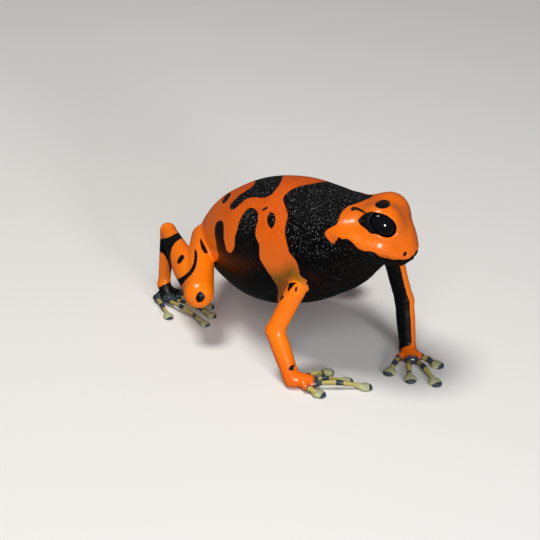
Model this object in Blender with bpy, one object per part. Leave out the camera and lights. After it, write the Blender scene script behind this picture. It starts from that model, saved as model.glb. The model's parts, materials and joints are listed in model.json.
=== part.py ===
"""Yellow-banded poison dart frog in its orange form, life size, propped on straight arms on a flat floor.

Sizes are millimetres in the frog's own frame, (forward, left, up), and become metres when a mesh is made.
Forward is -Y in the world, left is +X, and the floor is z = 0.
"""

import math

import bmesh
import bpy
import numpy as np
from mathutils import Vector

MM = 0.001
GAP = 0.3

# Trunk
TRUNK_SIDES = 32
TRUNK_RINGS = 24
# centre forward, left and up, half width, height above the centre, depth below it
TRUNK_STATIONS = (
    (-24.6, 0.0, 7.2, 0.8, 0.8, 0.9),
    (-23.8, 0.0, 7.5, 2.2, 2.0, 2.4),
    (-21.3, 0.0, 8.4, 3.9, 3.9, 4.4),
    (-17.2, 0.0, 9.8, 5.8, 6.0, 6.4),
    (-11.6, 0.0, 11.6, 7.4, 7.5, 7.8),
    (-5.6, 0.0, 13.9, 7.5, 7.4, 7.6),
    (-0.8, 0.1, 16.1, 6.8, 5.9, 6.8),
    (2.2, 0.4, 17.7, 6.0, 4.7, 6.0),
    (5.0, 0.8, 18.9, 4.7, 3.6, 4.6),
)

# Head: its own frame has x forward, y left and z up, with the eyes near z = 0
HEAD_PIVOT = (3.38, 0.21, 21.73)
HEAD_TURN_LEFT = 33.2
HEAD_NOD_DOWN = 24.4
HEAD_ROLL_LEFT = 12.5
HEAD_SIDES = 36
HEAD_RINGS = 22
# along, half width, crown above the eye line, throat below it, squareness of the top
HEAD_STATIONS = (
    (-1.6, 3.3, 0.4, 4.8, 2.0),
    (0.0, 4.5, 1.05, 5.25, 2.05),
    (1.9, 4.75, 1.65, 5.6, 2.1),
    (3.8, 4.65, 2.05, 5.45, 2.15),
    (5.4, 4.1, 1.85, 4.8, 2.15),
    (6.9, 3.3, 1.1, 4.2, 2.25),
    (7.9, 2.5, 0.2, 3.7, 2.25),
    (8.6, 1.6, -0.65, 2.75, 2.2),
    (8.9, 0.65, -1.2, 2.2, 2.0)
)
HEAD_MIDDLE = -1.8
EYE = (3.81, 2.8, 0.35)
EYE_RADIUS = 1.95
EYE_GAP = 0.2
LID_RADIUS = 2.4
EYE_OPENING = (2.0, 1.3, 2.2)
# where the eye looks, and the run of its opening, for the left eye: forward, outward, up
EYE_LOOKS = (0.25, 1.0, 0.25)
EYE_RUN = (1.0, -0.25, -0.2)
# how far forward and how low the line of the mouth runs, from its corner to under the snout
MOUTH_LINE = ((1.0, -2.9), (2.5, -2.9), (4.4, -2.85), (6.0, -2.8), (7.3, -2.55), (8.2, -2.2), (8.65, -2.0))
MOUTH_TUBE = 0.24
NOSTRIL = (7.79, 2.5, -1.5)
NOSTRIL_RADIUS = 0.26

# Limbs: joint places, then thickness
RIGHT, LEFT = -1, 1
SHOULDER = {RIGHT: (0.3, -5.4, 12.2), LEFT: (3.2, 6.4, 12.6)}
ELBOW = {RIGHT: (-1.0, -8.1, 6.0), LEFT: (4.0, 7.7, 7.0)}
WRIST = {RIGHT: (2.3, -8.2, 1.05), LEFT: (5.2, 7.4, 1.05)}
KNUCKLES = {RIGHT: (3.9, -6.45, 0.75), LEFT: (7.0, 6.4, 0.75)}
HIP = {RIGHT: (-21.2, -3.4, 9.0), LEFT: (-21.2, 3.4, 9.0)}
KNEE = {RIGHT: (-13.0, -10.4, 6.8), LEFT: (-12.4, 10.8, 6.6)}
HEEL = {RIGHT: (-26.6, -5.2, 8.4), LEFT: (-26.2, 5.8, 8.2)}
ANKLE = {RIGHT: (-25.8, -6.6, 1.5), LEFT: (-25.2, 8.0, 1.5)}
BALL = {RIGHT: (-23.4, -7.3, 0.8), LEFT: (-22.8, 8.9, 0.8)}

# how far the middle of the thigh is bowed: forward, outward, up
THIGH_BOW = (0.1, 0.3, 0.3)

# tip of each finger and toe on the floor, forward and left, inner one first
FINGER_TIPS = {
    RIGHT: ((2.75, -3.2), (5.7, -2.7), (8.1, -1.8), (6.0, -7.1)),
    LEFT: ((7.2, 2.8), (10.0, 3.6), (12.4, 5.4), (9.4, 8.4)),
}
TOE_TIPS = {
    RIGHT: ((-21.4, -3.6), (-19.4, -4.2), (-17.3, -5.4), (-16.0, -7.4), (-20.4, -9.8)),
    LEFT: ((-20.8, 5.6), (-18.6, 6.4), (-16.2, 8.0), (-15.6, 10.6), (-19.6, 12.4)),
}
# root of each digit on the end of its palm or foot, inner one first: inward, and back from the end
FINGER_ROOTS = ((1.3, 0.8), (0.5, 0.1), (-0.45, 0.0), (-1.3, 0.6))
TOE_ROOTS = ((1.6, 1.2), (0.85, 0.4), (0.0, 0.0), (-0.85, 0.3), (-1.6, 1.1))
FINGER_RADIUS = 0.33
TOE_RADIUS = 0.29
PALM_FLATNESS = 0.55
# half length and half width of a pad, its half height, and the height of its middle
FINGER_PAD = (0.9, 0.82, 0.4, 0.22)
TOE_PAD = (0.68, 0.66, 0.36, 0.2)
DIGIT_SIDES = 8
LIMB_SIDES = 14

# Colours from the photograph, linear: base colour and roughness
FINISHES = {
    "orange_skin": ((0.83, 0.25, 0.02), 0.32),
    "black_skin": ((0.012, 0.011, 0.012), 0.36),
    "eye": ((0.004, 0.004, 0.005), 0.06),
    "toe_skin": ((0.22, 0.27, 0.16), 0.4),
}


def world(point):
    """(forward, left, up) in millimetres to the world's metres."""
    forward, left, up = point
    return Vector((left, -forward, up)) * MM


def clear_scene():
    for old in list(bpy.data.objects):
        bpy.data.objects.remove(old, do_unlink=True)


def finish(name):
    """The material of this name, made once."""
    made = bpy.data.materials.get(name)
    if made:
        return made
    colour, roughness = FINISHES[name]
    made = bpy.data.materials.new(name)
    made.use_nodes = True
    shader = made.node_tree.nodes["Principled BSDF"]
    shader.inputs["Base Color"].default_value = (*colour, 1.0)
    shader.inputs["Roughness"].default_value = roughness
    shader.inputs["Metallic"].default_value = 0.0
    return made


def spline(rows, count):
    """count rows spread evenly along a smooth curve through all the rows."""
    rows = np.array(rows, float)
    ends = np.vstack([2 * rows[0] - rows[1], rows, 2 * rows[-1] - rows[-2]])
    where = np.linspace(0, len(rows) - 1, count)
    piece = np.minimum(where.astype(int), len(rows) - 2)
    t = (where - piece)[:, None]
    a, b, c, d = ends[piece], ends[piece + 1], ends[piece + 2], ends[piece + 3]
    return 0.5 * (
        2 * b + (c - a) * t + (2 * a - 5 * b + 4 * c - d) * t**2 + (3 * b - a - 3 * c + d) * t**3
    )


def unit(vector):
    return vector / max(np.linalg.norm(vector), 1e-9)


def object_from(name, bm, material):
    bmesh.ops.recalc_face_normals(bm, faces=bm.faces)
    mesh = bpy.data.meshes.new(name)
    bm.to_mesh(mesh)
    bm.free()
    mesh.shade_smooth()
    made = bpy.data.objects.new(name, mesh)
    bpy.context.scene.collection.objects.link(made)
    made.data.materials.append(finish(material))
    return made


def loft(name, rings, material):
    """A closed skin over rings of points in the frog's frame, with a point at each end."""
    bm = bmesh.new()
    rows = [[bm.verts.new(world(point)) for point in ring] for ring in rings]
    for row, nxt in zip(rows, rows[1:]):
        for i in range(len(row)):
            j = (i + 1) % len(row)
            bm.faces.new((row[i], row[j], nxt[j], nxt[i]))
    for row in (rows[0], rows[-1]):
        tip = bm.verts.new(sum((v.co for v in row), Vector()) / len(row))
        for i in range(len(row)):
            bm.faces.new((row[i], row[(i + 1) % len(row)], tip))
    return object_from(name, bm, material)


def ellipsoid(name, centre, radii, axes, material, segments=24, rows=14):
    """An ellipsoid whose radii lie along three axes of the frog's frame."""
    bm = bmesh.new()
    bmesh.ops.create_uvsphere(bm, u_segments=segments, v_segments=rows, radius=1.0)
    axes = np.array(axes, float)
    for vert in bm.verts:
        local = np.array(vert.co) * radii
        vert.co = world(np.array(centre) + local @ axes)
    return object_from(name, bm, material)


def boolean(target, tool, operation):
    """target joined with, or cut by, tool, which is then removed."""
    modifier = target.modifiers.new(operation.lower(), "BOOLEAN")
    modifier.operation = operation
    modifier.object = tool
    modifier.solver = "EXACT"
    bpy.context.view_layer.update()
    graph = bpy.context.evaluated_depsgraph_get()
    joined = bpy.data.meshes.new_from_object(target.evaluated_get(graph))
    target.modifiers.clear()
    target.data = joined
    bpy.data.objects.remove(tool, do_unlink=True)
    return target


def keep_largest(target):
    """Only the largest closed surface of the object stays."""
    bm = bmesh.new()
    bm.from_mesh(target.data)
    bmesh.ops.remove_doubles(bm, verts=bm.verts, dist=1e-7)
    left = set(bm.faces)
    pieces = []
    while left:
        seen = {left.pop()}
        edge_of = list(seen)
        while edge_of:
            face = edge_of.pop()
            for edge in face.edges:
                for other in edge.link_faces:
                    if other in left:
                        left.discard(other)
                        seen.add(other)
                        edge_of.append(other)
        pieces.append(seen)
    pieces.sort(key=lambda faces: -sum(face.calc_area() for face in faces))
    for faces in pieces[1:]:
        bmesh.ops.delete(bm, geom=list(faces), context="FACES")
    loose = [vert for vert in bm.verts if not vert.link_faces]
    bmesh.ops.delete(bm, geom=loose, context="VERTS")
    bm.to_mesh(target.data)
    bm.free()


def flat_on_floor(rings, floor=0.0):
    """Rings with what hangs below the floor laid on it."""
    return [np.column_stack([ring[:, 0], ring[:, 1], np.maximum(ring[:, 2], floor)]) for ring in rings]


def trunk_rings(grow=0.0):
    rows = spline(TRUNK_STATIONS, TRUNK_RINGS)
    centres = rows[:, :3]
    rings = []
    for i, (forward, left, up, half, above, below) in enumerate(rows):
        before, after = centres[max(i - 1, 0)], centres[min(i + 1, len(rows) - 1)]
        along = unit(after - before)
        side = unit(np.cross([0.0, 0.0, 1.0], along))
        rise = np.cross(along, side)
        ring = []
        for k in range(TRUNK_SIDES):
            angle = 2 * math.pi * k / TRUNK_SIDES
            across, height = math.cos(angle), math.sin(angle)
            reach = above if height > 0 else below
            ring.append(
                centres[i]
                + side * across * (half + grow)
                + rise * height * (reach + grow)
            )
        rings.append(np.array(ring))
    return rings


def head_axes():
    """The head's x, y and z axes in the frog's frame, as rows."""
    turn, nod, roll = (math.radians(v) for v in (HEAD_TURN_LEFT, HEAD_NOD_DOWN, HEAD_ROLL_LEFT))
    x = np.array([math.cos(turn) * math.cos(nod), math.sin(turn) * math.cos(nod), -math.sin(nod)])
    level = np.array([-math.sin(turn), math.cos(turn), 0.0])
    rise = np.cross(x, level)
    y = math.cos(roll) * level - math.sin(roll) * rise
    return np.array([x, y, np.cross(x, y)])


def head_to_frog(points):
    return np.array(HEAD_PIVOT) + np.asarray(points, float) @ head_axes()


def head_section(row, grow=0.0):
    """One ring of the head in its own frame, widest at the mouth, squarer above it than below."""
    along, half, crown, throat, square = row
    ring = []
    for k in range(HEAD_SIDES):
        angle = 2 * math.pi * k / HEAD_SIDES
        c, s = math.cos(angle), math.sin(angle)
        power = 2 / (square if s > 0 else 2.0)
        reach = grow + (crown - HEAD_MIDDLE if s > 0 else throat + HEAD_MIDDLE)
        across = math.copysign(abs(c) ** power, c) * (half + grow)
        height = HEAD_MIDDLE + math.copysign(abs(s) ** power, s) * reach
        ring.append((along, across, height))
    return ring


def head_rings(grow=0.0):
    rows = spline(HEAD_STATIONS, HEAD_RINGS)
    rows[0, 0] -= grow
    rows[-1, 0] += grow
    return [head_to_frog(head_section(row, grow)) for row in rows]


def mouth_path():
    """The line of the mouth round the snout, from one corner to the other, in the head's frame."""
    rows = spline(HEAD_STATIONS, 60)
    side = []
    for along, up in MOUTH_LINE:
        half, throat = (np.interp(along, rows[:, 0], rows[:, k]) for k in (1, 3))
        drop = (HEAD_MIDDLE - up) / (throat + HEAD_MIDDLE)
        side.append((along, half * math.sqrt(max(1 - drop * drop, 0.02)), up))
    front = [(HEAD_STATIONS[-1][0] + 0.05, 0.0, MOUTH_LINE[-1][1])]
    return side + front + [(x, -y, z) for x, y, z in reversed(side)]


def tube(name, path, radius, material, sides=8):
    """A tube of one radius along points of the frog's frame."""
    path = np.array(path, float)
    rings = []
    for i, point in enumerate(path):
        along = unit(path[min(i + 1, len(path) - 1)] - path[max(i - 1, 0)])
        side = unit(np.cross(along, [0.0, 0.0, 1.0]))
        rise = np.cross(side, along)
        rings.append(
            np.array(
                [
                    point + radius * (math.cos(a) * side + math.sin(a) * rise)
                    for a in np.linspace(0, 2 * math.pi, sides, endpoint=False)
                ]
            )
        )
    return loft(name, rings, material)


def limb_rings(path, radii, sides, grow=0.0, count=None, flat=1.0):
    """Rings of a round limb through the path, with radii at its points and round ends."""
    rows = spline([(*p, r) for p, r in zip(path, radii)], count or 4 * len(path))
    first, last = rows[0].copy(), rows[-1].copy()
    start = unit(rows[1, :3] - rows[0, :3])
    end = unit(rows[-1, :3] - rows[-2, :3])
    caps = ((0.94, 0.35), (0.72, 0.7), (0.34, 0.94))
    head = []
    tail = []
    for back, share in reversed(caps):
        row = first.copy()
        row[:3] -= start * first[3] * back
        row[3] = first[3] * math.sqrt(1 - back * back)
        tail_row = last.copy()
        tail_row[:3] += end * last[3] * back
        tail_row[3] = last[3] * math.sqrt(1 - back * back)
        head.insert(0, row)
        tail.append(tail_row)
    rows = np.vstack([head, rows, tail])
    rings = []
    side = None
    for i, (forward, left, up, radius) in enumerate(rows):
        along = unit(rows[min(i + 1, len(rows) - 1), :3] - rows[max(i - 1, 0), :3])
        if side is None:
            across = np.cross(along, [0.0, 0.0, 1.0])
            side = unit(across if np.linalg.norm(across) > 0.1 else np.cross(along, [1.0, 0.0, 0.0]))
        side = unit(side - along * (side @ along))
        rise = np.cross(side, along)
        ring = [
            rows[i, :3] + (radius + grow) * (math.cos(a) * side + flat * math.sin(a) * rise)
            for a in np.linspace(0, 2 * math.pi, sides, endpoint=False)
        ]
        rings.append(np.array(ring))
    if grow:
        rings[0] = rings[0] - start * grow
        rings[-1] = rings[-1] + end * grow
    return rings


def side_name(side):
    return "left" if side == LEFT else "right"


def mix(a, b, t):
    return tuple(np.array(a, float) * (1 - t) + np.array(b, float) * t)


def limb_parts():
    """Each limb node: its name, its path, its radii and its material."""
    parts = []
    for side in (RIGHT, LEFT):
        name = side_name(side)
        shoulder, elbow, wrist, knuckles = (x[side] for x in (SHOULDER, ELBOW, WRIST, KNUCKLES))
        hip, knee, heel, ankle, ball = (x[side] for x in (HIP, KNEE, HEEL, ANKLE, BALL))
        upper_arm = (shoulder, mix(shoulder, elbow, 0.5), elbow)
        bow = np.array(THIGH_BOW) * (1, side, 1)
        thigh = (hip, tuple(np.array(mix(hip, knee, 0.45)) + bow), knee)
        parts += [
            (f"upper_arm_{name}", upper_arm, (1.2, 1.16, 1.1), "orange_skin"),
            (f"forearm_{name}", (elbow, mix(elbow, wrist, 0.45), wrist), (1.1, 1.14, 0.92), "orange_skin"),
            (f"palm_{name}", (wrist, mix(wrist, knuckles, 0.6), knuckles), (1.1, 1.45, 1.5), "orange_skin"),
            (f"thigh_{name}", thigh, (1.7, 1.7, 1.85), "orange_skin"),
            (f"shank_{name}", (knee, mix(knee, heel, 0.4), heel), (1.5, 1.75, 1.0), "orange_skin"),
            (f"tarsus_{name}", (heel, mix(heel, ankle, 0.5), ankle), (1.0, 0.9, 0.85), "orange_skin"),
            (f"foot_{name}", (ankle, mix(ankle, ball, 0.5), ball), (0.95, 1.35, 1.65), "black_skin"),
        ]
    return parts


def is_flat(name):
    return name.startswith(("palm", "foot"))


def node_rings(name, path, radii, grow=0.0):
    """Rings of a limb node; palms and feet are flat ones."""
    flat = PALM_FLATNESS if is_flat(name) else 1.0
    return limb_rings(path, radii, LIMB_SIDES, grow, flat=flat)


def digit_root(side, end, behind, place):
    """Where a digit starts: across and behind the end of its palm or foot."""
    along = unit((np.array(end) - behind) * (1, 1, 0))
    inward = np.array([-along[1], along[0], 0.0]) * -side
    return np.array(end) + inward * place[0] - along * place[1]


def digit_rings(root, tip, radius, pad, grow=0.0):
    """A finger or toe: a thin arched rod, then a flat round pad resting on the floor."""
    root = np.array(root, float)
    tip = np.array([tip[0], tip[1], pad[3]])
    along = unit((tip - root) * (1, 1, 0))
    side = np.array([-along[1], along[0], 0.0])
    length = np.linalg.norm(tip - root)
    reach = pad[0]
    rows = []
    for t in np.linspace(0, 1, 7):
        centre = root + (tip - along * reach * 0.6 - root) * t
        centre[2] = root[2] * (1 - t) + radius * t + 0.06 * length * math.sin(math.pi * t)
        swell = 1.0 + 0.12 * math.cos(2 * math.pi * 2 * t)
        rows.append((centre, radius * swell, radius * swell))
    for x, wide in ((-0.45, 0.88), (0.0, 1.0), (0.45, 0.9), (0.8, 0.6)):
        centre = tip + along * reach * x
        rows.append((centre, pad[1] * wide, pad[2] * math.sqrt(max(1 - x * x * 0.8, 0.1))))
    rings = []
    for centre, half, high in rows:
        ring = [
            centre
            + (half + grow) * math.cos(a) * side
            + (high + grow) * math.sin(a) * np.array([0.0, 0.0, 1.0])
            for a in np.linspace(0, 2 * math.pi, DIGIT_SIDES, endpoint=False)
        ]
        rings.append(np.array(ring))
    if grow:
        return rings
    return flat_on_floor(rings)


def head_solid(name, grow=0.0):
    """The head with the domes of its lids, before anything is cut into it."""
    head = loft(name, head_rings(grow), "orange_skin")
    for side in (RIGHT, LEFT):
        centre = head_to_frog([(EYE[0], side * EYE[1], EYE[2])])[0]
        lids = ellipsoid("lids", centre, (LID_RADIUS + grow,) * 3, head_axes(), "orange_skin")
        boolean(head, lids, "UNION")
    return head


def build_head():
    head = head_solid("head")
    axes = head_axes()
    for side in (RIGHT, LEFT):
        centre = head_to_frog([(EYE[0], side * EYE[1], EYE[2])])[0]
        socket = ellipsoid("socket", centre, (EYE_RADIUS + EYE_GAP,) * 3, axes, "orange_skin")
        boolean(head, socket, "DIFFERENCE")
        look = unit(np.array(EYE_LOOKS) * (1, side, 1))
        forward = unit(np.array(EYE_RUN) * (1, side, 1))
        forward = unit(forward - look * (forward @ look))
        frame = np.array([forward, np.cross(look, forward), look]) @ axes
        opening = ellipsoid(
            "opening", centre + frame[2] * LID_RADIUS, EYE_OPENING, frame, "orange_skin"
        )
        boolean(head, opening, "DIFFERENCE")
        nostril = ellipsoid(
            "nostril",
            head_to_frog([(NOSTRIL[0], side * NOSTRIL[1], NOSTRIL[2])])[0],
            (NOSTRIL_RADIUS * 1.2, NOSTRIL_RADIUS * 1.6, NOSTRIL_RADIUS),
            axes,
            "orange_skin",
            12,
            8,
        )
        boolean(head, nostril, "DIFFERENCE")
        ellipsoid(f"eye_{side_name(side)}", centre, (EYE_RADIUS,) * 3, axes, "eye")
    mouth = tube("mouth", head_to_frog(mouth_path()), MOUTH_TUBE, "black_skin", 6)
    boolean(head, mouth, "DIFFERENCE")
    keep_largest(head)
    return head


def build_trunk():
    trunk = loft("trunk", flat_on_floor(trunk_rings()), "black_skin")
    boolean(trunk, head_solid("head_room", GAP), "DIFFERENCE")
    keep_largest(trunk)
    return trunk


def build_limbs():
    rings_of = {}
    for name, path, radii, material in limb_parts():
        rings_of[name] = (path, radii)
        loft(name, flat_on_floor(node_rings(name, path, radii)), material)
    order = {
        "upper_arm": "trunk",
        "forearm": "upper_arm",
        "palm": "forearm",
        "thigh": "trunk",
        "shank": "thigh",
        "tarsus": "shank",
        "foot": "tarsus",
    }
    for kind, parent in order.items():
        for side in (RIGHT, LEFT):
            node = bpy.data.objects[f"{kind}_{side_name(side)}"]
            if parent == "trunk":
                room = loft("room", trunk_rings(GAP), "black_skin")
            else:
                above = f"{parent}_{side_name(side)}"
                room = loft("room", node_rings(above, *rings_of[above], GAP), "black_skin")
            boolean(node, room, "DIFFERENCE")
            keep_largest(node)
    return rings_of


def build_digits(rings_of):
    for side in (RIGHT, LEFT):
        name = side_name(side)
        sets = (
            ("finger", "palm", WRIST, KNUCKLES, FINGER_ROOTS, FINGER_TIPS, FINGER_RADIUS, FINGER_PAD),
            ("toe", "foot", ANKLE, BALL, TOE_ROOTS, TOE_TIPS, TOE_RADIUS, TOE_PAD),
        )
        for kind, parent, behind, end, roots, tips, radius, pad in sets:
            above = f"{parent}_{name}"
            before = None
            for number, (place, tip) in enumerate(zip(roots, tips[side]), 1):
                root = digit_root(side, end[side], behind[side], place)
                digit = loft(f"{kind}_{name}_{number}", digit_rings(root, tip, radius, pad), "toe_skin")
                room = loft("room", node_rings(above, *rings_of[above], GAP), "black_skin")
                boolean(digit, room, "DIFFERENCE")
                if before:
                    room = loft("room", digit_rings(*before, radius, pad, GAP), "black_skin")
                    boolean(digit, room, "DIFFERENCE")
                keep_largest(digit)
                before = (root, tip)


def centre_on_floor():
    """Every node moved together, so that the middle of the whole box is over the origin."""
    nodes = [node for node in bpy.data.objects if node.type == "MESH"]
    points = np.vstack([[vert.co for vert in node.data.vertices] for node in nodes])
    middle = (points.min(axis=0) + points.max(axis=0)) / 2
    for node in nodes:
        for vert in node.data.vertices:
            vert.co -= Vector((middle[0], middle[1], 0.0))
        node.data.update()


def main():
    clear_scene()
    build_head()
    build_trunk()
    build_digits(build_limbs())
    centre_on_floor()


main()
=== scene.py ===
"""Looks of the yellow-banded poison dart frog: one seamless skin with its markings, wet eyes, and the stage.

Sizes are millimetres in the frog's own frame, (forward, left, up), as in the model, unless a comment says
otherwise. Pixels are those of the 540 x 540 photograph, and place a marking on the skin through the camera.
"""

import json
import math

import bmesh
import bpy
import numpy as np
from mathutils import Matrix, Vector, noise

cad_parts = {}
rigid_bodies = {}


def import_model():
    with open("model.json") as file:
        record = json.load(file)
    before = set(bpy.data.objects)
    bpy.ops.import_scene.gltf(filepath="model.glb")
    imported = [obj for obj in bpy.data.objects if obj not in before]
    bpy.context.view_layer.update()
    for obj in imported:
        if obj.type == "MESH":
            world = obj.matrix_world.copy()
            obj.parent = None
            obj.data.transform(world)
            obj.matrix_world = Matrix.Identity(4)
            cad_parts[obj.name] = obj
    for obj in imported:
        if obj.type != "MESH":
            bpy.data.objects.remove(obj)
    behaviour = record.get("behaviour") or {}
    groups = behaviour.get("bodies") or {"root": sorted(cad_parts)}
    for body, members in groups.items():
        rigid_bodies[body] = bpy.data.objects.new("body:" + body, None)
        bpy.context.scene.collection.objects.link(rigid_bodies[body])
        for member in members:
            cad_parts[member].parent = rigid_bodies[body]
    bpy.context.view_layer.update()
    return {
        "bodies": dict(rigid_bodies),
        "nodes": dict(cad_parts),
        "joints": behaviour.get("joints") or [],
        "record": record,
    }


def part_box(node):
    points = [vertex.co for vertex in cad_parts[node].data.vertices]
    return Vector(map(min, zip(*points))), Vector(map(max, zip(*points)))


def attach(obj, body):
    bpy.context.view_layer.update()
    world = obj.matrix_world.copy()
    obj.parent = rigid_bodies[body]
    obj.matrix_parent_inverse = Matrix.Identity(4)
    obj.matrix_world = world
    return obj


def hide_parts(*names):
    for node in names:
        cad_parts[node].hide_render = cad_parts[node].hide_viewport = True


MM = 0.001

# Trunk, from the vent into the head: centre forward, left and up, half width, height above, depth below
TRUNK_STATIONS = (
    (-24.6, 0.0, 7.2, 0.8, 0.8, 0.9),
    (-23.8, 0.0, 7.5, 2.2, 2.0, 2.4),
    (-21.3, 0.0, 8.4, 3.9, 3.9, 4.4),
    (-17.2, 0.0, 9.8, 5.8, 6.0, 6.4),
    (-11.6, 0.0, 11.6, 7.4, 7.5, 7.8),
    (-5.6, 0.0, 13.9, 7.5, 7.4, 7.6),
    (-0.8, 0.1, 16.1, 6.8, 5.9, 6.8),
    (2.2, 0.4, 17.7, 6.0, 4.5, 6.0),
    (5.0, 0.8, 18.9, 4.7, 3.1, 4.6),
    (7.0, 1.6, 19.4, 2.6, 1.8, 2.6),
)
TRUNK_BOX = ((-25.8, -8.2, 2.4), (6.4, 8.4, 24.2))
TRUNK_ROWS = 160

# Head: its own frame has x forward, y left and z up; along, half width, crown, throat, squareness
HEAD_PIVOT = (3.38, 0.21, 21.73)
HEAD_TURN_LEFT = 33.2
HEAD_NOD_DOWN = 24.4
HEAD_ROLL_LEFT = 12.5
HEAD_STATIONS = (
    (-4.6, 1.0, -4.6, 6.2, 2.0),
    (-3.2, 2.4, -3.3, 6.1, 2.0),
    (-1.6, 3.7, -1.5, 5.8, 2.0),
    (0.0, 4.5, 0.0, 5.25, 2.0),
    (1.9, 4.75, 1.4, 5.6, 2.0),
    (3.8, 4.7, 2.3, 5.45, 1.95),
    (5.4, 4.15, 2.15, 4.8, 1.95),
    (6.9, 3.3, 1.2, 4.2, 2.1),
    (7.9, 2.5, 0.25, 3.7, 2.2),
    (8.6, 1.6, -0.6, 2.75, 2.2),
    (8.9, 0.65, -1.2, 2.2, 2.0),
)
# the height at which the head is widest, and how fast that falls behind the pivot, towards the trunk
HEAD_MIDDLE = -1.8
NECK_DROP = 0.7
HEAD_BOX = ((-5.4, 9.6), (-5.2, 5.2), (-6.0, 2.8))
HEAD_ROWS = 120
EYE = (3.81, 2.8, 0.35)
EYE_RADIUS = 1.95
SOCKET_GAP = 0.02
LID_RADIUS = 2.36
EYE_OPENING = (1.87, 1.15, 2.2)
EYE_LOOKS = (0.25, 1.0, 0.25)
EYE_RUN = (1.0, -0.25, -0.2)
# how far forward and how low the mouth's line runs, and the upper lip's with its depth in the cheek
MOUTH_LINE = ((1.0, -2.9), (2.5, -2.9), (4.4, -2.85), (6.0, -2.8), (7.3, -2.55), (8.2, -2.2), (8.65, -2.0))
LIP_LINE = (
    (-1.4, -3.3, 1.5), (0.2, -2.95, 0.5), (1.6, -2.65, 0.25), (3.4, -2.25, 0.12), (5.2, -1.85, 0.1),
    (6.6, -1.75, 0.3), (7.9, -1.8, 0.75),
)
LIP_RADII = (0.6, 0.7, 0.72, 0.75, 0.75, 0.65, 0.5)
# the groove of the mouth: its radius, and how far outside the skin its middle runs
MOUTH_RADIUS = 0.16
MOUTH_OUT = 0.06
NOSTRIL = (7.79, 2.53, -1.5)
NOSTRIL_RADII = (0.24, 0.2, 0.17)

# Limbs: the places of the joints
RIGHT, LEFT = -1, 1
SHOULDER = {RIGHT: (0.3, -5.4, 12.2), LEFT: (3.2, 6.4, 12.6)}
ELBOW = {RIGHT: (-1.0, -8.1, 6.0), LEFT: (4.0, 7.7, 7.0)}
WRIST = {RIGHT: (2.3, -8.2, 1.05), LEFT: (5.2, 7.4, 1.05)}
KNUCKLES = {RIGHT: (3.9, -6.45, 0.75), LEFT: (7.0, 6.4, 0.75)}
HIP = {RIGHT: (-21.2, -3.4, 9.0), LEFT: (-21.2, 3.4, 9.0)}
KNEE = {RIGHT: (-13.0, -10.4, 6.8), LEFT: (-12.4, 10.8, 6.6)}
HEEL = {RIGHT: (-26.6, -5.2, 8.4), LEFT: (-26.2, 5.8, 8.2)}
ANKLE = {RIGHT: (-25.8, -6.6, 1.5), LEFT: (-25.2, 8.0, 1.5)}
BALL = {RIGHT: (-23.4, -7.3, 0.8), LEFT: (-22.8, 8.9, 0.8)}
FINGER_TIPS = {
    RIGHT: ((2.75, -3.2), (5.7, -2.7), (8.1, -1.8), (6.0, -7.1)),
    LEFT: ((7.2, 2.8), (10.0, 3.6), (12.4, 5.4), (9.4, 8.4)),
}
TOE_TIPS = {
    RIGHT: ((-21.4, -3.6), (-19.4, -4.2), (-17.3, -5.4), (-16.0, -7.4), (-20.4, -9.8)),
    LEFT: ((-20.8, 5.6), (-18.6, 6.4), (-16.2, 8.0), (-15.6, 10.6), (-19.6, 12.4)),
}
FINGER_ROOTS = ((1.3, 0.8), (0.5, 0.1), (-0.45, 0.0), (-1.3, 0.6))
TOE_ROOTS = ((1.6, 1.2), (0.85, 0.4), (0.0, 0.0), (-0.85, 0.3), (-1.6, 1.1))
FINGER_RADIUS = 0.33
TOE_RADIUS = 0.29
# half length, half width and half height of a pad, and the height of its middle
FINGER_PAD = (0.9, 0.82, 0.4, 0.24)
TOE_PAD = (0.68, 0.66, 0.36, 0.22)
# the level of the digits' roots, and the radii that lead to a root through the palm or foot
ROOT_LEVEL = 0.62
ROOT_RADII = (0.6, 0.52)
# a digit's arch as a share of its length, how much its joints swell, and how much it tapers
DIGIT_ARCH = 0.06
JOINT_SWELL = 0.14
DIGIT_TAPER = 0.12
# from the shoulder to the arm's root in the trunk: forward, inwards and up
SHOULDER_ROOT = (-0.6, 1.2, 1.6)
# the bow of the thigh: forward, outwards and up
THIGH_BOW = (0.1, 0.3, 0.3)

# Radii along each part of a limb
RADII = {
    "upper_arm": (1.2, 1.2, 1.14, 1.12),
    "forearm": (1.1, 1.14, 0.95),
    "palm": (0.97, 0.85, 0.72),
    "thigh": (1.7, 1.7, 1.85),
    "shank": (1.3, 1.7, 0.95),
    "tarsus": (0.98, 0.86, 0.75),
    "foot": (0.78, 0.8, 0.62),
}

# How far the skin is rounded over where a form joins the rest or is cut out of it
ROUND = {
    "trunk": 0.3, "head": 1.6, "upper_arm": 0.8, "forearm": 0.4, "palm": 0.4, "thigh": 0.35, "shank": 0.15,
    "tarsus": 0.3, "foot": 0.4, "root": 0.35, "digit": 0.2, "disc": 0.25, "lip": 0.45, "lid": 1.25,
    "mouth": 0.12, "eyeball": 0.02, "eye_opening": 0.18, "nostril": 0.12,
}

# Camera, as fitted to the photograph
CAMERA_TURN = 52.0
CAMERA_RISE = 27.0
PIXELS_PER_MM = 8.5
CAMERA_DISTANCE = 250.0
ANCHOR_PIXEL = (300.0, 380.0)
ANCHOR = (3.0, -7.5, 0.9)
PHOTO_SIZE = 540.0
SENSOR_WIDTH = 36.0

# Folds of the throat: the way they run and the two ways across them, and how quickly they change each way
FOLD_AXES = np.array([[0.616, 0.788, 0.0], [-0.788, 0.616, 0.0], [0.0, 0.0, 1.0]])
FOLD_PACE = (0.3, 1.1, 1.1)
FOLD_HEIGHT = 0.45
# where the noise is cut off, and where it is level with the skin
FOLD_TOP = 0.45
FOLD_LEVEL = 0.25

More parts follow.
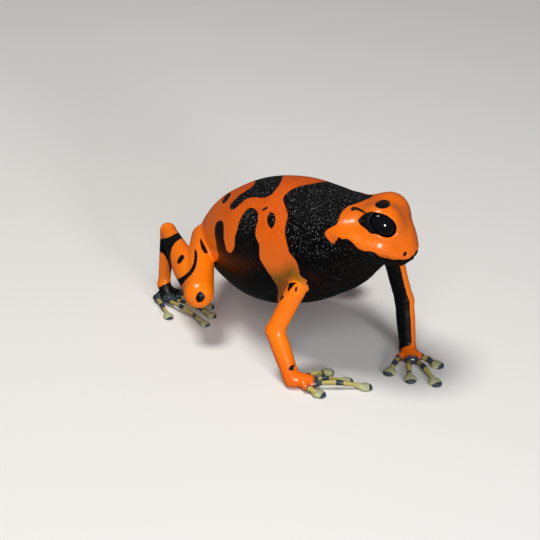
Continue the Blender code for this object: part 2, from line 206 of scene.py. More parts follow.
# Skin grid, and how far past a form its distances are still worked out
STEP = 0.15
GRID_LOW = (-28.4, -13.6, -0.45)
GRID_HIGH = (14.2, 14.6, 24.6)
GRID_EMPTY = 6.0
SPARE = 0.6

# a length that is beyond all others, and one that keeps a division off zero
FAR = 99.0
TINY = 1e-6


def unit(vector):
    return vector / max(np.linalg.norm(vector), TINY)


def between(a, b, c, d, t):
    """A smooth curve through four points: its place at share t of the way from b to c."""
    return 0.5 * (
        2 * b + (c - a) * t + (2 * a - 5 * b + 4 * c - d) * t**2 + (3 * b - a - 3 * c + d) * t**3
    )


def spline(rows, count):
    """count rows spread evenly along a smooth curve through all the rows."""
    rows = np.array(rows, float)
    ends = np.vstack([2 * rows[0] - rows[1], rows, 2 * rows[-1] - rows[-2]])
    where = np.linspace(0, len(rows) - 1, count)
    piece = np.minimum(where.astype(int), len(rows) - 2)
    corners = [ends[piece + k] for k in range(4)]
    return between(*corners, (where - piece)[:, None])


def mix(a, b, t):
    """From a to b by share t."""
    return a * (1 - t) + b * t


def away_from(points, place):
    return np.linalg.norm(points - place, axis=1)


def smooth_step(value, low, high):
    t = np.clip((value - low) / (high - low), 0, 1)
    return t * t * (3 - 2 * t)


def soft_least(a, b, reach):
    """The lesser of two distances, rounded over where they are within reach of each other."""
    share = np.clip(0.5 + 0.5 * (b - a) / reach, 0, 1)
    return b * (1 - share) + a * share - reach * share * (1 - share)


def soft_most(a, b, reach):
    return -soft_least(-a, -b, reach)


# Frames of the head and the camera

def head_axes():
    """The head's x, y and z axes in the frog's frame, as rows."""
    turn, nod, roll = (math.radians(v) for v in (HEAD_TURN_LEFT, HEAD_NOD_DOWN, HEAD_ROLL_LEFT))
    x = np.array([math.cos(turn) * math.cos(nod), math.sin(turn) * math.cos(nod), -math.sin(nod)])
    level = np.array([-math.sin(turn), math.cos(turn), 0.0])
    rise = np.cross(x, level)
    y = math.cos(roll) * level - math.sin(roll) * rise
    return np.array([x, y, np.cross(x, y)])


HEAD_AXES = head_axes()


def head_to_frog(points):
    return np.array(HEAD_PIVOT) + np.asarray(points, float) @ HEAD_AXES


def frog_to_head(points):
    return (points - np.array(HEAD_PIVOT)) @ HEAD_AXES.T


def head_place(place, side):
    """A place on one side of the head, in the frog's frame."""
    return head_to_frog([(place[0], side * place[1], place[2])])[0]


def eye_centre(side):
    return head_place(EYE, side)


def eye_frame(side):
    """Rows: along the opening, across it, and the way the eye looks."""
    look = unit(np.array(EYE_LOOKS) * (1, side, 1))
    run = unit(np.array(EYE_RUN) * (1, side, 1))
    run = unit(run - look * (run @ look))
    return np.array([run, np.cross(look, run), look]) @ HEAD_AXES


class Lens:
    """The fitted camera, in the frog's frame."""

    def __init__(self):
        turn, rise = math.radians(CAMERA_TURN), math.radians(CAMERA_RISE)
        ahead = np.array([-math.sin(turn), math.cos(turn), 0.0])
        upward = np.array([0.0, 0.0, 1.0])
        self.right = np.array([math.cos(turn), math.sin(turn), 0.0])
        self.up = math.sin(rise) * ahead + math.cos(rise) * upward
        self.back = math.sin(rise) * upward - math.cos(rise) * ahead
        middle = PHOTO_SIZE / 2
        target = (
            np.array(ANCHOR)
            - (ANCHOR_PIXEL[0] - middle) / PIXELS_PER_MM * self.right
            - (middle - ANCHOR_PIXEL[1]) / PIXELS_PER_MM * self.up
        )
        self.place = target + CAMERA_DISTANCE * self.back

    def pixels(self, points):
        """Where the photograph shows each point."""
        away = points - self.place
        scale = PIXELS_PER_MM * CAMERA_DISTANCE / -(away @ self.back)
        middle = PHOTO_SIZE / 2
        return np.column_stack([middle + (away @ self.right) * scale, middle - (away @ self.up) * scale])


LENS = Lens()


# Skin: distances to the forms of the body, joined softly on a grid

class Body:
    """A grid of distances to the skin, built up form by form."""

    def __init__(self):
        self.low = np.array(GRID_LOW)
        self.count = np.ceil((np.array(GRID_HIGH) - self.low) / STEP).astype(int) + 1
        self.values = np.full(self.count, GRID_EMPTY, np.float32)
        self.parts = {}
        self.digits = []

    def block(self, low, high):
        """The part of the grid inside a box: its slices, and the places of its points."""
        first = np.clip(np.floor((low - self.low) / STEP).astype(int), 0, self.count - 1)
        last = np.clip(np.ceil((high - self.low) / STEP).astype(int) + 1, 1, self.count)
        sides = [self.low[k] + STEP * np.arange(first[k], last[k]) for k in range(3)]
        return tuple(slice(a, b) for a, b in zip(first, last)), np.ix_(*sides)

    def join(self, part, form, reach):
        self.parts.setdefault(part, []).append(form)
        place, grid = self.block(*form.box(reach + SPARE))
        self.values[place] = soft_least(self.values[place], form.distance(grid), reach)

    def cut(self, form, reach):
        place, grid = self.block(*form.box(reach + SPARE))
        self.values[place] = soft_most(self.values[place], -form.distance(grid), reach)

    def gap(self, part, points):
        """How far each point is from one part of the body."""
        return np.min([form.distance(tuple(points.T)) for form in self.parts[part]], axis=0)


def points_of(grid):
    """The grid's points as rows, with the shape to put results back in."""
    whole = np.broadcast_arrays(*grid)
    return np.stack([side.ravel() for side in whole], axis=1), whole[0].shape


class Rods:
    """A limb: tapering round rods through a path, with a radius at each point."""

    def __init__(self, path, radii, fine=6):
        rows = spline([(*p, r) for p, r in zip(path, radii)], fine * (len(path) - 1) + 1)
        self.path, self.radii = rows[:, :3], rows[:, 3]

    def box(self, spare):
        most = self.radii.max() + spare
        return self.path.min(0) - most, self.path.max(0) + most

    def distance(self, grid):
        least = None
        for a, b, ra, rb in zip(self.path, self.path[1:], self.radii, self.radii[1:]):
            run = b - a
            t = sum((grid[k] - a[k]) * run[k] for k in range(3)) / (run @ run)
            t = np.clip(t, 0, 1)
            away = sum((grid[k] - a[k] - t * run[k]) ** 2 for k in range(3))
            gap = np.sqrt(away) - (ra + (rb - ra) * t)
            least = gap if least is None else np.minimum(least, gap)
        return least


class Ball:
    """An ellipsoid with its radii along three axes."""

    def __init__(self, centre, radii, axes=np.eye(3)):
        self.centre = np.array(centre, float)
        self.radii = np.array(radii, float)
        self.axes = np.array(axes)

    def box(self, spare):
        reach = np.sqrt(((self.axes.T * self.radii) ** 2).sum(1)) + spare
        return self.centre - reach, self.centre + reach

    def distance(self, grid):
        offset = [grid[k] - self.centre[k] for k in range(3)]
        local = [sum(offset[k] * axis[k] for k in range(3)) for axis in self.axes]
        away = np.sqrt(sum(v**2 for v in local)) + TINY
        share = np.sqrt(sum((v / r) ** 2 for v, r in zip(local, self.radii))) + TINY
        return away * (1 - 1 / share)


class Trunk:
    """The body behind the head, on stations along its spine."""

    def __init__(self):
        self.rows = spline(TRUNK_STATIONS, TRUNK_ROWS)
        centres = self.rows[:, :3]
        self.pace = np.linalg.norm(centres[1:] - centres[:-1], axis=1).mean()
        along = np.gradient(centres, axis=0)
        along /= np.linalg.norm(along, axis=1)[:, None]
        self.spine = np.hstack([centres, along])
        self.chord = unit(centres[-1] - centres[0])
        self.reach = centres @ self.chord

    def box(self, spare):
        low, high = np.array(TRUNK_BOX)
        return low - spare, high + spare

    def place(self, points):
        """For each point: its place along the spine, and how far across, up and ahead it is from there."""
        last = len(self.rows) - 1
        where = np.interp(points @ self.chord, self.reach, np.arange(last + 1.0))
        for _ in range(3):
            centre, along = np.split(self.pick(self.spine, where), 2, axis=1)
            where = np.clip(where + ((points - centre) * along).sum(1) / self.pace, 0, last)
        centre, along = np.split(self.pick(self.spine, where), 2, axis=1)
        side = np.column_stack([-along[:, 1], along[:, 0], np.zeros(len(along))])
        side /= np.linalg.norm(side, axis=1)[:, None]
        rise = np.cross(along, side)
        offset = points - centre
        return where, (offset * side).sum(1), (offset * rise).sum(1), (offset * along).sum(1)

    def pick(self, table, where):
        """The table's rows at these places, which may lie between two rows."""
        index = np.arange(float(len(table)))
        return np.column_stack([np.interp(where, index, column) for column in table.T])

    def distance(self, grid):
        points, shape = points_of(grid)
        where, across, height, beyond = self.place(points)
        half, above, below = self.pick(self.rows[:, 3:6], where).T
        reach = np.where(height > 0, above, below)
        away = np.hypot(across, height) + TINY
        share = np.hypot(across / half, height / reach) + TINY
        gap = away * (1 - 1 / share)
        last = len(self.rows) - 1
        ended = (where <= 0) | (where >= last)
        depth = -np.minimum(where, last - where) * self.pace
        gap = np.where(ended, np.hypot(np.maximum(gap, 0), beyond), np.maximum(gap, depth))
        return gap.reshape(shape)


class Head:
    """The head in its own frame, widest at the mouth and squarer above it than below."""

    def __init__(self):
        self.rows = spline(HEAD_STATIONS, HEAD_ROWS)

    def box(self, spare):
        corners = head_to_frog([(x, y, z) for x in HEAD_BOX[0] for y in HEAD_BOX[1] for z in HEAD_BOX[2]])
        return corners.min(0) - spare, corners.max(0) + spare

    def section(self, x):
        """Half width, crown, throat and squareness at x."""
        return [np.interp(x, self.rows[:, 0], self.rows[:, k]) for k in range(1, 5)]

    def ring(self, line):
        """Places on the skin of a cheek along a line of forward and upward places, each moved inwards."""
        places = []
        for x, z, inwards in line:
            half, crown, throat, square = self.section(x)
            low = z < HEAD_MIDDLE
            share = abs((z - HEAD_MIDDLE) / (throat + HEAD_MIDDLE if low else crown - HEAD_MIDDLE))
            power = 2.0 if low else square
            places.append((x, max(half * (1 - share**power) ** (1 / power) - inwards, 0.05), z))
        return places

    def distance(self, grid):
        points, shape = points_of(grid)
        x, y, z = frog_to_head(points).T
        half, crown, throat, square = self.section(x)
        middle = HEAD_MIDDLE + NECK_DROP * np.minimum(x, 0)
        height = z - middle
        reach = np.where(height > 0, crown - middle, throat + middle)
        power = np.where(height > 0, square, 2.0)
        share = (np.abs(y / half) ** power + np.abs(height / reach) ** power) ** (1 / power) + TINY
        gap = (np.hypot(y, height) + TINY) * (1 - 1 / share)
        beyond = np.maximum(x - self.rows[-1, 0], self.rows[0, 0] - x)
        gap = np.where(beyond > 0, np.hypot(np.maximum(gap, 0), beyond), np.maximum(gap, beyond))
        if len(shape) == 1:
            return gap
        # on the grid, a distance that grows too fast or too slowly is put right by its own slope
        slope = np.sqrt(sum(g**2 for g in np.gradient(gap.reshape(shape), STEP)))
        return gap.reshape(shape) / np.clip(slope, 0.6, 3.0)


def digit_root(side, end, behind, place):
    """Where a digit starts: across and behind the end of its palm or foot."""
    along = unit((end - behind) * (1, 1, 0))
    inward = np.array([-along[1], along[0], 0.0]) * -side
    return end + inward * place[0] - along * place[1]


def digit_forms(root, tip, radius, pad):
    """A finger or toe: an arched rod with swollen joints, and a flat round disc at its tip."""
    along = unit((tip - root) * (1, 1, 0))
    side = np.array([-along[1], along[0], 0.0])
    length = np.linalg.norm(tip - root)
    path, radii = [], []
    for t in np.linspace(0, 1, 9):
        centre = root + (tip - along * pad[0] * 0.3 - root) * t
        centre[2] = root[2] * (1 - t) + radius * t + DIGIT_ARCH * length * math.sin(math.pi * t)
        path.append(centre)
        radii.append(radius * (1.0 + JOINT_SWELL * math.cos(4 * math.pi * t) - DIGIT_TAPER * t))
    disc = Ball(tip, pad[:3], (along, side, (0.0, 0.0, 1.0)))
    return Rods(path, radii, 2), disc


def side_name(side):
    return "left" if side == LEFT else "right"


def limb_paths(side):
    """The joints of the arm and the leg, from the body outwards."""
    joints = {"arm": (SHOULDER, ELBOW, WRIST, KNUCKLES), "leg": (HIP, KNEE, HEEL, ANKLE, BALL)}
    return {limb: [np.array(joint[side]) for joint in row] for limb, row in joints.items()}


def join_limbs(body, side):
    shoulder, elbow, wrist, knuckles = limb_paths(side)["arm"]
    hip, knee, heel, ankle, ball = limb_paths(side)["leg"]
    rooted = shoulder + np.array(SHOULDER_ROOT) * (1, -side, 1)
    bow = np.array(THIGH_BOW) * (1, side, 1)
    rods = (
        ("arm", "upper_arm", (rooted, shoulder, mix(shoulder, elbow, 0.5), elbow)),
        ("arm", "forearm", (elbow, mix(elbow, wrist, 0.4), wrist)),
        ("hand", "palm", (wrist, mix(wrist, knuckles, 0.5), knuckles)),
        ("thigh", "thigh", (hip, mix(hip, knee, 0.45) + bow, knee)),
        ("shank", "shank", (knee, mix(knee, heel, 0.4), heel)),
        ("shank", "tarsus", (heel, mix(heel, ankle, 0.5), ankle)),
        ("foot", "foot", (ankle, mix(ankle, ball, 0.5), ball)),
    )
    for part, piece, path in rods:
        body.join(f"{part}_{side_name(side)}", Rods(path, RADII[piece]), ROUND[piece])


def join_digits(body, side):
    sets = (
        ("hand", "arm", FINGER_ROOTS, FINGER_TIPS, FINGER_RADIUS, FINGER_PAD),
        ("foot", "leg", TOE_ROOTS, TOE_TIPS, TOE_RADIUS, TOE_PAD),
    )
    for place, limb, roots, tips, radius, pad in sets:
        part = f"{place}_{side_name(side)}"
        behind, end = limb_paths(side)[limb][-2:]
        base = mix(behind, end, 0.45)
        for spot, tip in zip(roots, tips[side]):
            root = digit_root(side, end, behind, spot)
            root[2] = ROOT_LEVEL
            radii = (*ROOT_RADII, radius * 1.25)
            body.join(part, Rods((base, mix(base, root, 0.5), root), radii, 2), ROUND["root"])
            tip = np.array([*tip, pad[3]])
            rod, disc = digit_forms(root, tip, radius, pad)
            body.digits.append((part, root, tip))
            body.join(part, rod, ROUND["digit"])
            body.join(part, disc, ROUND["disc"])


def join_face(body):
    """The lips, the groove of the mouth, the lids with the eyes' openings, and the nostrils."""
    head = Head()
    for side in (RIGHT, LEFT):
        lip = head_to_frog([(x, side * y, z) for x, y, z in head.ring(LIP_LINE)])
        body.join("face", Rods(lip, LIP_RADII), ROUND["lip"])
    mouth = head.ring([(x, z, -MOUTH_OUT) for x, z in MOUTH_LINE])
    line = [(x, -y, z) for x, y, z in mouth] + [(x, y, z) for x, y, z in mouth[::-1]]
    body.cut(Rods(head_to_frog(line), (MOUTH_RADIUS,) * len(line)), ROUND["mouth"])
    for side in (RIGHT, LEFT):
        centre, frame = eye_centre(side), eye_frame(side)
        body.join("face", Ball(centre, (LID_RADIUS,) * 3), ROUND["lid"])
        body.cut(Ball(centre, (EYE_RADIUS + SOCKET_GAP,) * 3), ROUND["eyeball"])
        body.cut(Ball(centre + frame[2] * LID_RADIUS, EYE_OPENING, frame), ROUND["eye_opening"])
        body.cut(Ball(head_place(NOSTRIL, side), NOSTRIL_RADII, HEAD_AXES), ROUND["nostril"])


def grow_body():
    body = Body()
    body.join("trunk", Trunk(), ROUND["trunk"])
    body.join("head", Head(), ROUND["head"])
    for side in (RIGHT, LEFT):
        join_limbs(body, side)
        join_digits(body, side)
    join_face(body)
    # nothing below the floor
    floor = body.low[2] + STEP * np.arange(body.count[2])
    body.values = np.maximum(body.values, -floor[None, None, :].astype(np.float32))
    return body


def surface_of(body):
    """Points and four-sided faces of the skin, where the grid's distances pass zero."""
    values = body.values
    inside = values < 0
    ends = (slice(0, -1), slice(1, None))
    corners = sum(inside[x, y, z].astype(np.int8) for x in ends for y in ends for z in ends)
    active = (corners > 0) & (corners < 8)
    cells = np.argwhere(active)
    number = np.full(active.shape, -1, np.int32)
    number[active] = np.arange(len(cells))
    total = np.zeros((len(cells), 3))
    crossings = np.zeros(len(cells))
    ways = np.eye(3, dtype=int)
    for axis in range(3):
        u, v = (ways[k] for k in range(3) if k != axis)
        for shift in (0 * u, v, u, u + v):
            start = cells + shift
            a = values[tuple(start.T)].astype(float)
            b = values[tuple((start + ways[axis]).T)].astype(float)
            crosses = (a < 0) != (b < 0)
            share = np.where(crosses, a / np.where(crosses, a - b, 1), 0)
            point = start + share[:, None] * ways[axis]
            total += np.where(crosses[:, None], point, 0)
            crossings += crosses
    points = body.low + STEP * total / crossings[:, None]
    faces = []
    for axis in range(3):
        u, v = [k for k in range(3) if k != axis]
        edges = np.argwhere(np.diff(inside, axis=axis))
        edges = edges[(edges[:, u] > 0) & (edges[:, v] > 0)]
        edges = edges[(edges[:, u] < values.shape[u] - 1) & (edges[:, v] < values.shape[v] - 1)]
        back = (0 * ways[u], ways[u], ways[u] + ways[v], ways[v])
        quads = np.column_stack([number[tuple((edges - shift).T)] for shift in back])
        outward = inside[tuple(edges.T)] ^ (axis == 1)
        faces.append(np.where(outward[:, None], quads, quads[:, ::-1]))
    return points, np.vstack(faces)


# Markings: outlines in pixels of the photograph, each named for what it holds
NAPE_AND_BACK_ORANGE = (
    (328, 180), (320, 182.2), (312.5, 183.6), (300, 186), (291, 190), (285, 195), (283, 199.4), (285, 206),
    (287.5, 215), (286, 225), (285, 235), (287.5, 246), (289.4, 252.5), (296, 261), (298.8, 268.8),
    (300, 275), (307, 281), (303, 284), (297.5, 282.5), (289.5, 283), (288, 288), (287.5, 293), (285, 300),
    (280, 303), (277.5, 300), (278, 291), (276, 283.8), (270, 275), (265, 267.5), (259.8, 257.5),
    (259.2, 245), (255.8, 236), (256, 227.5), (258, 220), (257.8, 213), (254.5, 208.6), (249.4, 208),
    (243.8, 213), (239.4, 221.3), (236.9, 230), (235, 237.5), (234.4, 245), (233, 250), (229.8, 252.8),
    (226.5, 250), (225, 244), (223.8, 237.5), (223.8, 227.5), (222.5, 221.3), (219, 220.6), (216, 223.5),
    (214.6, 231), (215.6, 240), (217, 250), (218.5, 257), (214, 262), (204, 258), (195, 240), (192, 215),
    (198, 190), (215, 168), (260, 155), (300, 158), (326, 168),
)
# small flecks on the trunk's band, the wrist and the shoulder
BAND_FLECK_BLACK = (
    (261.6, 209.4), (263.5, 208.4), (266.4, 206.8), (268.4, 206.6), (267, 208.6), (264.6, 210.4),
    (262.6, 210.8),
)
WRIST_FLECK_BLACK = (
    (288.6, 368), (290.5, 366), (293.4, 364.4), (294.6, 366), (293.2, 368), (294, 370), (291.4, 370.8),
    (289, 370),
)
SHOULDER_FLECK_BLACK = (
    (295, 288.4), (296.6, 286.4), (297.4, 288), (296.8, 291), (295.4, 292.2), (294.8, 290.4),
)
MID_BACK_BLACK = (
    (283, 172), (282, 179), (280, 183.8), (275, 190.6), (270, 195.6), (262.5, 198), (253.8, 197.3),
    (246, 199.4), (240, 204.4), (233, 209.8), (230, 208), (231, 203.8), (237.5, 196.9), (246, 190.6),
    (252.5, 186.3), (255.5, 181), (254, 175), (262, 168), (278, 166),
)
BAND_SPOT_BLACK = (
    (271, 211.9), (275, 215), (275.3, 221), (273, 227.3), (270.6, 228.3), (267.8, 224), (267.3, 218.5),
    (268.8, 214),
)
RUMP_STRIPE_BLACK = (
    (222, 202.6), (223.6, 198.4), (227, 194.4), (230, 192.6), (230.6, 195), (227.6, 199.6), (224.4, 203.2),
)
MASK_ORANGE = (
    (325, 234), (326.5, 230.5), (332, 227), (336.5, 224.5), (339, 219), (342, 212), (348, 206.5),
    (355, 204), (363, 201), (372, 196.5), (374, 188), (384, 178), (404, 176), (424, 190), (434, 215),
    (436, 242), (437, 262), (425, 266), (414, 264), (406, 260.5), (400, 259.5), (391, 259.5), (384, 258.8),
    (379, 256), (374, 252.2), (368, 251), (362, 251.5), (358, 248.6), (354, 244), (350, 240.5),
    (346.5, 238.5), (342, 239.2), (339, 242), (335.5, 243.6), (331, 242), (327, 238),
)
EYE_PATCH_BLACK = (
    (358, 220.5), (360.5, 217), (365, 213.5), (371, 211.5), (377, 212.5), (385, 216.5), (392, 221),
    (395.5, 226), (396, 231), (393.5, 235), (389, 236.2), (383, 235.5), (375, 234.2), (370, 233),
    (365, 228.5), (360.5, 225),
)
CROWN_SPOT_BLACK = (
    (374.8, 204.6), (378, 201.4), (383, 199.8), (387.6, 200.2), (390.2, 203.4), (388.6, 206.8),
    (384, 208.6), (379, 208.4), (376, 206.8),
)
CHEEK_FLECK_BLACK = (
    (350.5, 209), (353, 206.8), (356.5, 207), (360, 208.6), (364, 211), (366.5, 214), (362.5, 212.6),
    (358.5, 210.6), (355, 210), (352.5, 211),
)
THIGH_SPOT_BLACK = (
    (200, 238.5), (203.5, 239.5), (206, 243), (210, 245.5), (211, 250), (208, 253.4), (204, 252.6),
    (201, 247.5),
)
KNEE_SPOT_BLACK = (
    (200, 291.6), (204, 294), (204.6, 298.5), (201.5, 302), (197.5, 302), (195.6, 298.5), (197, 294),
)
SHANK_SPOT_BLACK = (
    (182.6, 254.6), (184.4, 257), (182.4, 261), (179, 264), (177, 262.6), (178, 258.6), (180.4, 255.4),
)
ARM_ORANGE = (
    (291.5, 288), (294.5, 284.5), (299, 282), (304, 282.6), (308, 286), (312, 300), (320, 330), (330, 400),
    (250, 400), (250, 330), (262, 315), (280, 301), (288, 292),
)
SHANK_ARC_BLACK = (
    (190, 229.5), (184, 230.5), (176, 233.5), (168, 237.5), (158, 240), (153, 246), (156, 251),
    (162, 252.5), (165.5, 257), (168.5, 263), (170, 271), (171.5, 280), (173.5, 280), (172.3, 270),
    (171, 262), (170.5, 254), (172.6, 247), (177, 241.2), (183, 238), (188, 237.6), (192.5, 239),
    (194, 235), (193, 231),
)
FOLD_BLACK = (
    (194.6, 249), (197, 252), (197.4, 257), (196.8, 263), (195, 269), (191, 275), (185.5, 280.5),
    (182, 286), (181.2, 292), (181.6, 298), (183, 303), (184, 310), (176, 312), (170, 296), (172, 283),
    (177, 279.5), (184, 275.5), (189.5, 270.5), (193, 264), (194.2, 257),
)
BAND_FOOT_OLIVE = (
    (262, 268), (270, 272), (280, 271), (287, 266), (294, 266), (302, 272), (308, 282), (298, 284),
    (288, 282), (284, 292), (280, 304), (274, 304), (272, 288), (265, 276),
)
CHEST_CREASED = (
    (300, 300), (312, 284), (330, 272), (352, 266), (375, 268), (392, 272), (385, 285), (360, 300),
    (330, 306),
)
BACK_BLACKS = (MID_BACK_BLACK, BAND_SPOT_BLACK, BAND_FLECK_BLACK, RUMP_STRIPE_BLACK)
MASK_BLACKS = (EYE_PATCH_BLACK, CROWN_SPOT_BLACK, CHEEK_FLECK_BLACK)
ARM_BLACKS = (WRIST_FLECK_BLACK, SHOULDER_FLECK_BLACK)
THIGH_BLACKS = (THIGH_SPOT_BLACK, KNEE_SPOT_BLACK, FOLD_BLACK)
SHANK_BLACKS = (SHANK_SPOT_BLACK, SHANK_ARC_BLACK, FOLD_BLACK)

# how far apart the dark bands of a digit are, and how far they shift from one digit to the next
BAND_PACE = 2.6
BAND_SHIFT = 0.37
# how near a point on a limb or a digit is to it, and how far from the shoulder the trunk's band is seen
ON_LIMB = 0.25
ON_DIGIT = 0.3
SHOULDER_REACH = 2.6
# markings that are orange all over
ORANGE_ALL = 2.0
HAND_ORANGE = 0.3
# how far the black reaches round the nostrils and the eyes, and up round the tip of the snout
BLACK_ROUND = 0.3
SNOUT_RIM = 0.9
# how far painted shade darkens the forearms and hands near the floor
FOREARM_PAINTED_SHADE = 0.55


def closed_curve(corners, fine=5):
    """A smooth closed curve through the corners."""
    rows = np.array(corners, float)
    count = len(rows)
    return np.array([
        between(*(rows[(i + k) % count] for k in (-1, 0, 1, 2)), step / fine)
        for i in range(count) for step in range(fine)
    ])


def within(pixels, corners, far=15.0):
    """Signed distance in millimetres from the edge of a marking, above zero inside it."""
    ring = closed_curve(corners)
    near = (pixels > ring.min(0) - far).all(1) & (pixels < ring.max(0) + far).all(1)
    points = pixels[near]
    least = np.full(len(points), far**2)
    inside = np.zeros(len(points), bool)
    for a, b in zip(ring, np.roll(ring, -1, axis=0)):
        run = b - a
        offset = points - a
        t = np.clip(offset @ run / max(run @ run, TINY), 0, 1)
        least = np.minimum(least, ((offset - t[:, None] * run) ** 2).sum(1))
        spans = (a[1] > points[:, 1]) != (b[1] > points[:, 1])
        if run[1]:
            inside ^= spans & (offset[:, 0] < run[0] * offset[:, 1] / run[1])
    out = np.full(len(pixels), -far)
    out[near] = np.where(inside, 1, -1) * np.sqrt(least)
    return out / PIXELS_PER_MM


def cut_out(orange, pixels, blacks):
    """The same markings with black outlines taken out of the orange."""
    for black in blacks:
        orange = np.minimum(orange, -within(pixels, black))
    return orange


def other_side(points, gaps):
    """Where each point of the left side has its like on the right side, by the bones it lies along."""
    moved = points * (1, -1, 1)
    for limb, parts in (("arm", ("arm", "hand")), ("leg", ("thigh", "shank", "foot"))):
        paths = {side: np.array(limb_paths(side)[limb]) for side in (RIGHT, LEFT)}
        mine = np.min([gaps[f"{part}_left"] for part in parts], axis=0) < ON_LIMB
        here = points[mine]
        best = np.full(len(here), FAR)
        result = here.copy()
        for k in range(len(paths[LEFT]) - 1):
            a, b = paths[LEFT][k], paths[LEFT][k + 1]
            c, d = paths[RIGHT][k], paths[RIGHT][k + 1]
            run = b - a
            t = np.clip((here - a) @ run / (run @ run), 0, 1)
            offset = here - a - t[:, None] * run
            away = np.linalg.norm(offset, axis=1)
            side, rise = cross_axes(run)
            other, lift = cross_axes(d - c)
            inwards, upwards = (offset @ side)[:, None], (offset @ rise)[:, None]
            place = c + t[:, None] * (d - c) - inwards * other + upwards * lift
            closer = away < best
            result[closer] = place[closer]
            best = np.minimum(best, away)
        moved[mine] = result
    return moved


def cross_axes(run):
    """The two ways across a bone."""
    side = unit(np.cross(run, [0.0, 0.0, 1.0]))
    return side, unit(np.cross(side, run))


def digit_bands(points, body, gaps):
    """From none to one: the dark bands, the way out along a digit, and the digits themselves."""
    dark, out, pale = np.zeros((3, len(points)))
    nearest = np.full(len(points), FAR)
    for number, (part, root, tip) in enumerate(body.digits):
        mine = gaps[part] < ON_DIGIT
        here = points[mine]
        run = tip - root
        t = (here - root) @ run / (run @ run)
        away = np.linalg.norm(here - root - np.clip(t, 0, 1)[:, None] * run, axis=1)
        length = np.linalg.norm(run)
        along = t * length
        wave = np.cos(2 * math.pi * (along / BAND_PACE + BAND_SHIFT * number))
        bands = smooth_step(wave, 0.25, 0.7) * smooth_step(t, 0.12, 0.3) * (1 - smooth_step(t, 0.74, 0.86))
        # the far edge of the disc and the root are dark too
        bands = np.maximum(bands, smooth_step(along, length + 0.35, length + 0.62))
        bands = np.maximum(bands, 1 - smooth_step(t, 0.14, 0.24))
        closer = away < nearest[mine]
        places = np.flatnonzero(mine)[closer]
        dark[places] = bands[closer]
        out[places] = np.clip(t[closer], 0, 1)
        pale[places] = smooth_step(along[closer], -0.1, 0.45)
        nearest[places] = away[closer]
    return dark, out, pale


class SkinPoints:
    """The points of the skin: where the photograph shows them, and how far they are from each part."""

    def __init__(self, points, normals, body):
        self.points, self.normals = points, normals
        self.gaps = {part: body.gap(part, points) for part in body.parts}
        self.facing = normals @ LENS.back
        self.left = points[:, 1] > 0
        self.pixels = LENS.pixels(points)
        self.mirrored = LENS.pixels(other_side(points, self.gaps))
        self.as_right = np.where(self.left[:, None], self.mirrored, self.pixels)
        self.in_head = frog_to_head(points)
        head_gap = np.minimum(self.gaps["head"], self.gaps["face"])
        self.body_gap = np.minimum(self.gaps["trunk"], head_gap)
        self.on_head = smooth_step(self.gaps["trunk"] - head_gap, -1.5, 1.5)


def back_markings(skin):
    """Orange above zero on the trunk, mirrored where the skin faces away from the camera."""
    shown, hidden = (
        cut_out(within(pixels, NAPE_AND_BACK_ORANGE), pixels, BACK_BLACKS)
        for pixels in (skin.pixels, skin.mirrored)
    )
    return mix(hidden, shown, smooth_step(skin.facing, -0.12, 0.2))


def mask_markings(skin):
    """Orange above zero on the head, mirrored without the spot on its crown and the fleck on its cheek."""
    head = skin.in_head
    seen = np.maximum(smooth_step(skin.facing, -0.15, 0.02), smooth_step(-head[:, 1], 0.0, 0.8))
    seen *= 1 - smooth_step(head[:, 1], 2.4, 3.2)
    mirrored = LENS.pixels(head_to_frog(head * (1, -1, 1)))
    shown = cut_out(within(skin.pixels, MASK_ORANGE), skin.pixels, MASK_BLACKS)
    hidden = cut_out(within(mirrored, MASK_ORANGE), mirrored, (EYE_PATCH_BLACK,))
    return mix(hidden, shown, seen)


def body_markings(skin, back):
    """Orange above zero on the trunk and head, with the jaw black below the line of the mouth."""
    head, on_head = skin.in_head, skin.on_head
    # the mask reaches on to the trunk behind the cheek, and the trunk's band stays off the head
    orange = np.maximum(np.where(on_head > 0.02, mask_markings(skin), -ORANGE_ALL), back - 3.0 * on_head)
    mouth = np.interp(head[:, 0], [x for x, _ in MOUTH_LINE], [z for _, z in MOUTH_LINE])
    # the black of the jaw rises a little round the tip of the snout
    tip = smooth_step(head[:, 0], 7.5, 8.5) * (1 - smooth_step(abs(head[:, 1]), 0.4, 2.2))
    mouth += SNOUT_RIM * tip
    jaw = (on_head > 0.5) & (head[:, 0] > MOUTH_LINE[0][0] - 0.6)
    return np.where(jaw, np.minimum(orange, head[:, 2] - mouth), orange)


def arm_markings(skin):
    """Orange above zero on the arms, black on the sides that face the chest."""
    inner = skin.normals[:, 1] * np.where(skin.left, -1, 1)
    arms = 1.2 * (np.where(skin.left, 0.15, 0.85) - inner)
    on_right = cut_out(within(skin.pixels, ARM_ORANGE), skin.pixels, ARM_BLACKS)
    return np.where(skin.left, arms, np.minimum(arms, on_right))


